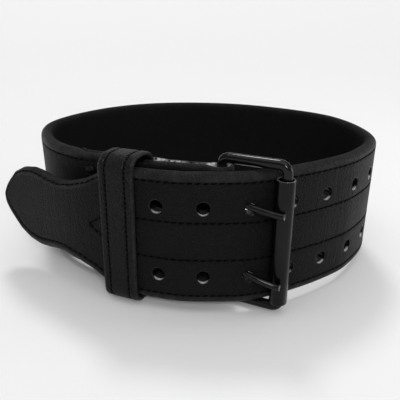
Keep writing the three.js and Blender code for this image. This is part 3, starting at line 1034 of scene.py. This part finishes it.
def keeper_rings():
    """Cross-sections of the keeper along its line, and the marks of its turned edges."""
    half = KEEPER_WIDTH / 2
    thick = KEEPER_THICKNESS / 2
    edge = KEEPER_EDGE
    places = sorted({
        *steps(-half + edge, half - edge, KEEPER_FACE_STEPS),
        *[row + GROOVE_WIDTH * share for row in KEEPER_ROWS for share in GROOVE_SHARES],
    })
    section = []
    for side in (1, -1):
        for across in places if side > 0 else reversed(places):
            away = min(abs(across - row) for row in KEEPER_ROWS)
            depth = GROOVE_DEPTH * max(0, 1 - (away / GROOVE_WIDTH) ** 2) ** 2
            section.append((across, side * (thick - depth), 0))
        for angle in steps(90, -90, KEEPER_EDGE_STEPS)[1:-1]:
            turn = math.radians(angle)
            out = half - edge + edge * math.cos(turn)
            section.append((side * out, side * thick * math.sin(turn), 1))
    rings = [[keeper_spot(row, lift, across) for across, lift, _ in section] for row in keeper_line()]
    rims = [rim for _, _, rim in section] * len(rings)
    return rings, rims


def keeper_paths():
    """Stitch rows of the keeper on its outer and inner faces."""
    seat = KEEPER_THICKNESS / 2 - GROOVE_DEPTH * KEEPER_SEAT
    line = keeper_line()
    paths = []
    for across in KEEPER_ROWS:
        for lift in (seat, -seat):
            path = []
            for row in line:
                point = keeper_spot(row, lift, across)
                foot = keeper_spot(row, 0, across)
                path.append((point, (point - foot).normalized()))
            path.append(path[0])
            paths.append(path)
    return paths


# Materials


def put(node, socket, value):
    """Sets an input socket of a node, or links it to an output socket."""
    if isinstance(value, bpy.types.NodeSocket):
        node.id_data.links.new(value, socket)
    else:
        socket.default_value = value


def set_sockets(node, values):
    """Sets or links input sockets by name, with an underscore for each space."""
    for key, value in values.items():
        put(node, node.inputs[key.replace("_", " ")], value)
    return node


def add_node(nodes, kind, **values):
    return set_sockets(nodes.new(kind), values)


def add_sum(nodes, kind, operation, *values):
    """A math node, with its inputs in their order."""
    node = nodes.new(kind)
    node.operation = operation
    for socket, value in zip(node.inputs, values):
        put(node, socket, value)
    return node


def add_group(nodes, group, **values):
    node = nodes.new("ShaderNodeGroup")
    node.node_tree = group
    return set_sockets(node, values)


def new_group(name, inputs, outputs):
    """A node group with named sockets, its own inputs' sockets, and its output node."""
    group = bpy.data.node_groups.new(name, "ShaderNodeTree")
    for way, rows in (("INPUT", inputs), ("OUTPUT", outputs)):
        for title, value in rows:
            kind = "NodeSocketColor" if "olour" in title else "NodeSocketFloat"
            made = group.interface.new_socket(name=title, in_out=way, socket_type=kind)
            if value is not None:
                made.default_value = value
    return group, group.nodes.new("NodeGroupInput").outputs, group.nodes.new("NodeGroupOutput")


def object_place(nodes):
    return nodes.new("ShaderNodeTexCoord").outputs["Object"]


def mark(nodes, name):
    """Value of a mark that a mesh carries."""
    node = nodes.new("ShaderNodeAttribute")
    node.attribute_name = name
    return node.outputs["Fac"]


def grain_group():
    """Pebbled leather grain with creases and wrinkles: puts out its height and a slow mottle."""
    inputs = (("Scale", 900), ("Creases", 0.3), ("Wrinkles", 0))
    group, start, end = new_group("Leather grain", inputs, (("Height", None), ("Mottle", None)))
    nodes = group.nodes
    place = object_place(nodes)
    warp = add_node(nodes, "ShaderNodeTexNoise", Vector=place, Scale=120, Detail=2)
    shift = (0.0015, 0.0015, 0.0015)
    bend = add_sum(nodes, "ShaderNodeVectorMath", "MULTIPLY_ADD", warp.outputs["Color"], shift, place)
    bent = bend.outputs["Vector"]
    cells = add_node(nodes, "ShaderNodeTexVoronoi", Vector=bent, Scale=start["Scale"])
    cells.feature = "DISTANCE_TO_EDGE"
    pebble = add_node(nodes, "ShaderNodeMapRange", From_Max=0.28, Value=cells.outputs["Distance"])
    pebble.interpolation_type = "SMOOTHSTEP"
    creases = add_node(
        nodes, "ShaderNodeTexNoise", Vector=bent, Scale=55, Detail=6, Roughness=0.65, Distortion=1.2,
    )
    total = add_sum(
        nodes, "ShaderNodeMath", "MULTIPLY_ADD",
        creases.outputs["Fac"], start["Creases"], pebble.outputs["Result"],
    )
    tall = add_sum(nodes, "ShaderNodeVectorMath", "MULTIPLY", bent, (1, 1, 0.16))
    wrinkles = add_node(
        nodes, "ShaderNodeTexNoise", Vector=tall.outputs["Vector"], Scale=240, Detail=3, Distortion=0.6,
    )
    height = add_sum(
        nodes, "ShaderNodeMath", "MULTIPLY_ADD",
        wrinkles.outputs["Fac"], start["Wrinkles"], total.outputs["Value"],
    )
    mottle = add_node(nodes, "ShaderNodeTexNoise", Vector=place, Scale=28, Detail=5)
    set_sockets(end, {"Height": height.outputs["Value"], "Mottle": mottle.outputs["Fac"]})
    return group


def tint_and_light_group():
    """Mixes a second colour in where a mask and a noise agree: puts out the colour and its amount. The
    mixed colour is real wear and tone in most uses, a painted highlight on upward hole walls, and
    partly a painted highlight on leather rims and metal edges.
    """
    inputs = (("Colour", None), ("Worn colour", None), ("Mask", 0), ("Scale", 200), ("Spread", 0.5))
    group, start, end = new_group("Tint and painted light", inputs, (("Colour", None), ("Amount", None)))
    nodes = group.nodes
    noise = add_node(
        nodes, "ShaderNodeTexNoise", Vector=object_place(nodes), Scale=start["Scale"], Detail=4,
    )
    least = add_sum(nodes, "ShaderNodeMath", "SUBTRACT", 1, start["Spread"])
    spread = add_node(
        nodes, "ShaderNodeMapRange", Value=noise.outputs["Fac"], From_Min=0.35, From_Max=0.65,
        To_Min=least.outputs["Value"],
    )
    amount = add_sum(nodes, "ShaderNodeMath", "MULTIPLY", spread.outputs["Result"], start["Mask"])
    amount.use_clamp = True
    blend = nodes.new("ShaderNodeMix")
    blend.data_type = "RGBA"
    share = amount.outputs["Value"]
    set_sockets(blend, {"Factor": share, "A": start["Colour"], "B": start["Worn colour"]})
    set_sockets(end, {"Colour": blend.outputs["Result"], "Amount": share})
    return group


def shader_group(name, maker):
    return bpy.data.node_groups.get(name) or maker()


def new_material(name):
    material = bpy.data.materials.new(name)
    material.use_nodes = True
    return material, material.node_tree.nodes


def set_surface(nodes, **values):
    set_sockets(nodes["Principled BSDF"], values)


def solid_colour(colour, share=1):
    return (*[value * share for value in colour], 1)


def leather_material(name, base, roughness, specular, lining):
    """Black grained leather with lighter rims, whose colour is partly their burnished finish and partly
    a painted highlight; the strap's has a flesh side and a lining too.
    """
    sizes = bpy.context.scene.belt_sizes
    colours = bpy.context.scene.belt_colours
    material, nodes = new_material(name)
    grain = add_group(
        nodes, shader_group("Leather grain", grain_group), Scale=sizes.grain_scale, Creases=0.6,
    )
    wear_and_light = shader_group("Tint and painted light", tint_and_light_group)
    tint = add_group(
        nodes, wear_and_light, Scale=26.0, Spread=0.8, Colour=solid_colour(base),
        Worn_colour=solid_colour(base, LEATHER_TONE), Mask=grain.outputs["Mottle"],
    )
    # Rims: a speckled lighter colour, partly burnished finish and partly a painted highlight.
    rim = add_group(
        nodes, wear_and_light, Scale=160.0, Spread=0.6, Colour=tint.outputs["Colour"],
        Worn_colour=solid_colour(colours.rim), Mask=mark(nodes, "rim"),
    )
    relief = grain.outputs["Height"]
    fine = add_node(
        nodes, "ShaderNodeMapRange", Value=relief, To_Min=roughness + 0.1, To_Max=roughness - 0.06,
    )
    burnished = add_node(
        nodes, "ShaderNodeMix", Factor=rim.outputs["Amount"], A=fine.outputs["Result"], B=0.34,
    )
    colour = rim.outputs["Colour"]
    rough = burnished.outputs["Result"]
    if lining:
        put(grain, grain.inputs["Wrinkles"], mark(nodes, "wrinkle"))
        inner = add_group(
            nodes, wear_and_light, Scale=40.0, Spread=0.2, Colour=colour,
            Worn_colour=solid_colour(base, LINING_TONE), Mask=mark(nodes, "lining"),
        )
        raw = add_group(
            nodes, wear_and_light, Scale=260.0, Spread=1.0, Colour=inner.outputs["Colour"],
            Worn_colour=solid_colour(colours.flesh), Mask=mark(nodes, "flesh"),
        )
        matt = add_node(nodes, "ShaderNodeMix", Factor=inner.outputs["Amount"], A=rough, B=0.85)
        colour = raw.outputs["Colour"]
        rough = matt.outputs["Result"]
    bump = add_node(nodes, "ShaderNodeBump", Strength=0.9, Distance=sizes.grain_depth, Height=relief)
    set_surface(
        nodes, Base_Color=colour, Roughness=rough, Specular_IOR_Level=specular,
        Normal=bump.outputs["Normal"],
    )
    return material


def lit_bore_material(name, pale):
    """Wall of a punched hole, whose upward-facing lower side is tinted pale as a painted highlight."""
    material, nodes = new_material(name)
    facing = nodes.new("ShaderNodeNewGeometry")
    parts = add_node(nodes, "ShaderNodeSeparateXYZ", Vector=facing.outputs["Normal"])
    # Painted highlight: the more a wall faces upwards, the more of the pale colour it gets.
    upward = add_node(
        nodes, "ShaderNodeMapRange", Value=parts.outputs["Z"], From_Min=0.5, From_Max=0.95,
    )
    upward.interpolation_type = "SMOOTHSTEP"
    wear_and_light = add_group(
        nodes, shader_group("Tint and painted light", tint_and_light_group), Scale=500.0, Spread=0.5,
        Colour=solid_colour(bpy.context.scene.belt_colours.leather),
        Worn_colour=solid_colour((pale, pale, pale)), Mask=upward.outputs["Result"],
    )
    set_surface(nodes, Base_Color=wear_and_light.outputs["Colour"], Roughness=0.22, Specular_IOR_Level=0.3)
    return material


def thread_material(name):
    """Waxed black thread with a twist."""
    thread = bpy.context.scene.belt_colours.thread
    material, nodes = new_material(name)
    twist = add_node(
        nodes, "ShaderNodeTexWave", Vector=object_place(nodes), Scale=450, Distortion=1.5,
    )
    twist.bands_direction = "DIAGONAL"
    turns = twist.outputs["Fac"]
    tint = nodes.new("ShaderNodeMix")
    tint.data_type = "RGBA"
    light = solid_colour(thread, THREAD_TONE)
    set_sockets(tint, {"Factor": turns, "A": solid_colour(thread), "B": light})
    bump = add_node(nodes, "ShaderNodeBump", Strength=0.5, Distance=0.0002, Height=turns)
    set_surface(
        nodes, Base_Color=tint.outputs["Result"], Roughness=0.7, Specular_IOR_Level=0.04,
        Normal=bump.outputs["Normal"],
    )
    return material


def metal_material(name, roughness, shade):
    """Black coated steel, with a fine unevenness in its gloss and uncoated metal at marked edges, which
    is partly a painted highlight; its colour is scaled by a share of painted light, lighter above one
    and darker below one.
    """
    coat = bpy.context.scene.belt_colours.metal
    material, nodes = new_material(name)
    tint = shader_group("Tint and painted light", tint_and_light_group)
    wear_and_light = add_group(
        nodes, tint, Scale=90.0, Spread=1.0, Mask=0.5, Colour=solid_colour(coat, shade),
        Worn_colour=solid_colour(coat, shade * METAL_TONE),
    )
    # Bare metal at marked edges: partly wear and partly a painted highlight.
    edges = add_group(
        nodes, tint, Scale=600.0, Spread=0.3, Mask=mark(nodes, "edge"),
        Colour=wear_and_light.outputs["Colour"], Worn_colour=solid_colour(BARE_METAL_AND_GLINT),
    )
    fine = add_node(nodes, "ShaderNodeTexNoise", Vector=object_place(nodes), Scale=700, Detail=3)
    relief = fine.outputs["Fac"]
    rough = add_node(
        nodes, "ShaderNodeMapRange", Value=relief, To_Min=roughness - 0.03, To_Max=roughness + 0.06,
    )
    bump = add_node(nodes, "ShaderNodeBump", Strength=0.2, Distance=0.00008, Height=relief)
    set_surface(
        nodes, Base_Color=edges.outputs["Colour"], Roughness=rough.outputs["Result"], Metallic=0.8,
        Normal=bump.outputs["Normal"],
    )
    return material


def named_material(name, maker, **values):
    return bpy.data.materials.get(name) or maker(name, **values)


def metal():
    # The frame and prongs: the coat colour brightened 1.15 times as painted light.
    return named_material("Black coated steel", metal_material, roughness=0.11, shade=1.15)


def tube_metal():
    # The roller tube: the same coat darkened as painted shade.
    return named_material("Black coated tube", metal_material, roughness=0.2, shade=0.8)


class BELT_OT_strap(bpy.types.Operator):
    """Builds the folded and punched leather strap"""

    bl_idname = "belt.strap"
    bl_label = "Strap"

    def execute(self, context):
        colours = context.scene.belt_colours
        leather = leather_material(
            "Black grained leather", colours.leather, roughness=0.5, specular=0.075, lining=True,
        )
        # Both bore materials paint a highlight on upward walls: bright at the punched mouths, faint in
        # the rest of the bores.
        punched = lit_bore_material("Punched leather", pale=0.55)
        pressed = lit_bore_material("Pressed leather", pale=0.03)
        rings, marks = strap_rings()
        piece = make_object("strap", rings, False, leather, marks)
        piece.data.materials.append(punched)
        piece.data.materials.append(pressed)
        free = [pair for pair in range(HOLE_PAIRS) if pair != BUCKLED_PAIR]
        combine(piece, hole_cutters(pressed, free, HOLE_DIAMETER, 0), "DIFFERENCE")
        combine(piece, mouth_cutters(punched, free), "DIFFERENCE")
        pressed_pair = hole_cutters(pressed, [BUCKLED_PAIR], PRESSED_DIAMETER, PRESSED_SINK)
        combine(piece, pressed_pair, "DIFFERENCE")
        combine(piece, fold_cutters(pressed), "DIFFERENCE")
        combine(piece, prong_cutters(pressed), "DIFFERENCE")
        if not piece.data.polygons:
            raise RuntimeError("the cut strap came out empty")
        finish_piece(piece, "band_leather", "belt_band", crease=50)
        return {"FINISHED"}


class BELT_OT_keeper(bpy.types.Operator):
    """Builds the keeper loop"""

    bl_idname = "belt.keeper"
    bl_label = "Keeper"

    def execute(self, context):
        colours = context.scene.belt_colours
        leather = leather_material(
            "Black smooth leather", colours.keeper, roughness=0.4, specular=0.11, lining=False,
        )
        rings, rims = keeper_rings()
        piece = make_object("keeper", rings, True, leather, {"rim": rims})
        finish_piece(piece, "keeper_leather", "keeper_loop", crease=50)
        return {"FINISHED"}


class BELT_OT_stitches(bpy.types.Operator):
    """Lays the threads of the strap and the keeper"""

    bl_idname = "belt.stitches"
    bl_label = "Stitches"

    def execute(self, context):
        thread = named_material("Waxed thread", thread_material)
        strap = make_stitches("strap_stitches", strap_paths(), thread, 1)
        finish_piece(strap, "band_leather")
        keeper = make_stitches("keeper_stitches", keeper_paths(), thread, KEEPER_FINENESS)
        finish_piece(keeper, "keeper_leather")
        return {"FINISHED"}


class BELT_OT_frame(bpy.types.Operator):
    """Builds the buckle's closed wire frame"""

    bl_idname = "belt.frame"
    bl_label = "Buckle frame"

    def execute(self, context):
        axis = roller_axis - heel_bar
        length = axis.length
        axis.normalize()
        top = BAND_WIDTH + BUCKLE_SLACK_ABOVE + WIRE / 2 - BUCKLE_CORNER
        bottom = -BUCKLE_SLACK_BELOW - WIRE / 2 + BUCKLE_CORNER
        far = length - BUCKLE_CORNER
        corners = ((BUCKLE_CORNER, bottom, 2), (far, bottom, 3), (far, top, 0), (BUCKLE_CORNER, top, 1))
        points = []
        for along, height, quarter in corners:
            start = quarter * math.pi / 2
            for angle in steps(start, start + math.pi / 2, CORNER_STEPS):
                reach = along + BUCKLE_CORNER * math.cos(angle)
                points.append(heel_bar + axis * reach + UP * (height + BUCKLE_CORNER * math.sin(angle)))
        side = Vector((axis.y, -axis.x, 0))
        rings = bar_rings(points, [WIRE / 2] * len(points), WIRE_FACETS, side, closed=True)
        piece = make_object("wire_frame", rings, True, metal())
        finish_piece(piece, "buckle_metal", "buckle_frame")
        return {"FINISHED"}


class BELT_OT_roller(bpy.types.Operator):
    """Builds the roller tube with its rounded ends"""

    bl_idname = "belt.roller"
    bl_label = "Roller"

    def execute(self, context):
        outer = ROLLER_DIAMETER / 2 + ROLLER_SWELL
        inner = outer - ROLLER_WALL
        edge = ROLLER_EDGE
        top = ROLLER_LENGTH
        lip = edge / 3
        profile = [
            (inner, edge), (inner + edge, 0), (outer - edge, 0), (outer - lip, lip), (outer, edge),
            (outer, top - edge), (outer - lip, top - lip), (outer - edge, top),
            (inner + edge, top), (inner, top - edge),
        ]
        outward = walk(roller_beside)[2]
        axis = (roller_axis - heel_bar).normalized()
        foot = roller_axis + outward * ROLLER_SWELL - axis * ROLLER_SHIFT + UP * roller_foot
        rings = turned_rings(profile, ROLLER_FACETS, foot, UP)
        bare_and_glint = [share for share in ROLLER_BARE_AND_GLINT for facet in range(ROLLER_FACETS)]
        piece = make_object("roller_tube", rings, True, tube_metal(), {"edge": bare_and_glint})
        finish_piece(piece, "buckle_metal", "buckle_roller")
        return {"FINISHED"}


class BELT_OT_prongs(bpy.types.Operator):
    """Builds the two prongs with their eyes and blunt tips"""

    bl_idname = "belt.prongs"
    bl_label = "Prongs"

    def execute(self, context):
        for name, row, droop in PRONGS:
            line = prong_line(row, droop)
            plain = len(line) - len(PRONG_END)
            radii = [PRONG / 2] * plain + [PRONG / 2 * share for share, _ in PRONG_END]
            rings = bar_rings(line, radii, PRONG_FACETS, UP)
            bare_and_glint = [0.0] * (plain * PRONG_FACETS)
            bare_and_glint.extend(share for _, share in PRONG_END for facet in range(PRONG_FACETS))
            piece = make_object("prong_" + name + "_pin", rings, False, metal(), {"edge": bare_and_glint})
            inner = fold_bore
            outer = fold_bore + PRONG_EYE_WALL
            half = PRONG / 2
            bevel = PRONG / 6
            profile = [
                (inner, bevel - half), (inner + bevel, -half),
                (outer - bevel, -half), (outer, bevel - half),
                (outer, half - bevel), (outer - bevel, half),
                (inner + bevel, half), (inner, half - bevel),
            ]
            centre = heel_bar + UP * (row + PRONG_EYE_LIFT)
            rings = turned_rings(profile, HOLE_FACETS, centre, UP)
            combine(piece, make_object("eye", rings, True, metal()), "UNION")
            finish_piece(piece, "buckle_metal", "prong_" + name, crease=40)
        return {"FINISHED"}


class BELT_OT_rivets(bpy.types.Operator):
    """Builds the rivets through the fold"""

    bl_idname = "belt.rivets"
    bl_label = "Rivets"

    def execute(self, context):
        # The rivets: the same coat darkened as painted shade.
        coated = named_material("Coated rivet", metal_material, roughness=0.38, shade=0.35)
        outside = band_faces(RIVET_AT)[1] + SEAT_GAP
        inside = flap_faces(RIVET_AT)[1] - SEAT_GAP
        head = RIVET_HEAD / 2
        post = RIVET_SHANK / 2
        profile = [
            (CENTRE, inside - RIVET_DOME / 2), ((head + post) / 2, inside - RIVET_DOME / 2),
            (head, inside - RIVET_DOME / 4), (head, inside),
            (post, inside), (post, outside), (head, outside),
            *[(max(head * out, CENTRE), outside + RIVET_DOME * rise) for out, rise in DOME[1:]],
        ]
        point, _, outward = walk(RIVET_AT)
        for name, height in (("upper", BAND_WIDTH - RIVET_INSET), ("lower", RIVET_INSET)):
            rings = turned_rings(profile, RIVET_FACETS, point + UP * height, outward)
            piece = make_object("rivet_" + name + "_head", rings, False, coated)
            finish_piece(piece, "rivet_metal", "rivet_" + name)
        return {"FINISHED"}


def add_sun(name, strength, width, tilt, roll):
    """A sun of some width, tilted from straight down; its angles are in degrees."""
    light = bpy.data.lights.new(name, "SUN")
    light.energy = strength
    light.angle = math.radians(width)
    add_object(name, light).rotation_euler = (math.radians(tilt), math.radians(roll), 0)


class BELT_OT_stage(bpy.types.Operator):
    """Sets up the camera, the floor and the lights"""

    bl_idname = "belt.stage"
    bl_label = "Stage"

    def execute(self, context):
        studio = context.scene.belt_studio
        scene = context.scene
        data = bpy.data.cameras.new("Camera")
        data.lens = studio.lens
        data.sensor_width = 36
        data.clip_start = 0.01
        camera = add_object("Camera", data)
        turn = lean_turn @ Quaternion((1, 0, 0), math.radians(90 - CAMERA_PITCH))
        camera.location = placed(Vector(CAMERA_PLACE))
        camera.rotation_mode = "QUATERNION"
        camera.rotation_quaternion = turn
        scene.camera = camera

        corners = []
        for radius, height in FLOOR_PROFILE:
            for angle in steps(0, 2 * math.pi, FLOOR_FACETS)[:-1]:
                corners.append((radius * math.cos(angle), radius * math.sin(angle), height))
        faces = [tuple(range(FLOOR_FACETS))]
        for ring in range(len(FLOOR_PROFILE) - 1):
            low = ring * FLOOR_FACETS
            for corner in range(FLOOR_FACETS):
                here = low + corner
                beside = low + (corner + 1) % FLOOR_FACETS
                faces.append((here, here + FLOOR_FACETS, beside + FLOOR_FACETS, beside))
        material, nodes = new_material("Pale floor")
        set_surface(nodes, Base_Color=solid_colour(studio.floor), Roughness=0.8)
        add_piece("floor", corners, faces, material)

        world = bpy.data.worlds.new("Room")
        world.use_nodes = True
        background = world.node_tree.nodes["Background"]
        background.inputs["Color"].default_value = (1, 1, 1, 1)
        background.inputs["Strength"].default_value = studio.room_light
        scene.world = world
        scene.view_settings.view_transform = "Standard"
        for name, place, sides, share in LAMPS:
            light = bpy.data.lights.new(name, "AREA")
            light.shape = "RECTANGLE"
            light.size, light.size_y = sides
            light.color = LAMP_COLOUR
            light.energy = studio.side_light * share
            holder = add_object(name, light)
            holder.location = place
            holder.rotation_mode = "QUATERNION"
            holder.rotation_quaternion = (LAMP_TARGET - Vector(place)).to_track_quat("-Z", "Y")
        add_sun("Sky", studio.sky_light, *SKY_ANGLES)
        for name, share, *angles in KEYS:
            add_sun(name, studio.key_light * share, *angles)
        return {"FINISHED"}


class BELT_PT_panel(bpy.types.Panel):
    """Lists the belt's sizes, colours and pieces"""

    bl_idname = "BELT_PT_panel"
    bl_label = "Weightlifting Belt"
    bl_space_type = "VIEW_3D"
    bl_region_type = "UI"
    bl_category = "Belt"

    def draw(self, context):
        for group in (context.scene.belt_sizes, context.scene.belt_colours, context.scene.belt_studio):
            for name in group.bl_rna.properties.keys():
                if name not in ("rna_type", "name"):
                    self.layout.prop(group, name)
        for operator in OPERATORS:
            self.layout.operator(operator.bl_idname)


GROUPS = (BeltSizes, BeltColours, BeltStudio)
OPERATORS = (
    BELT_OT_strap,
    BELT_OT_keeper,
    BELT_OT_stitches,
    BELT_OT_frame,
    BELT_OT_roller,
    BELT_OT_prongs,
    BELT_OT_rivets,
    BELT_OT_stage,
)


def register():
    for kind in (*GROUPS, *OPERATORS, BELT_PT_panel):
        bpy.utils.register_class(kind)
    bpy.types.Scene.belt_sizes = bpy.props.PointerProperty(type=BeltSizes)
    bpy.types.Scene.belt_colours = bpy.props.PointerProperty(type=BeltColours)
    bpy.types.Scene.belt_studio = bpy.props.PointerProperty(type=BeltStudio)


def unregister():
    del bpy.types.Scene.belt_studio
    del bpy.types.Scene.belt_colours
    del bpy.types.Scene.belt_sizes
    for kind in reversed((*GROUPS, *OPERATORS, BELT_PT_panel)):
        bpy.utils.unregister_class(kind)


def main():
    register()
    for name in list(bpy.data.objects.keys()):
        if name in ("Cube", "Light", "Camera"):
            bpy.data.objects.remove(bpy.data.objects[name])
    bpy.ops.belt.strap()
    bpy.ops.belt.keeper()
    bpy.ops.belt.stitches()
    bpy.ops.belt.frame()
    bpy.ops.belt.roller()
    bpy.ops.belt.prongs()
    bpy.ops.belt.rivets()
    bpy.ops.belt.stage()


if __name__ == "__main__":
    main()
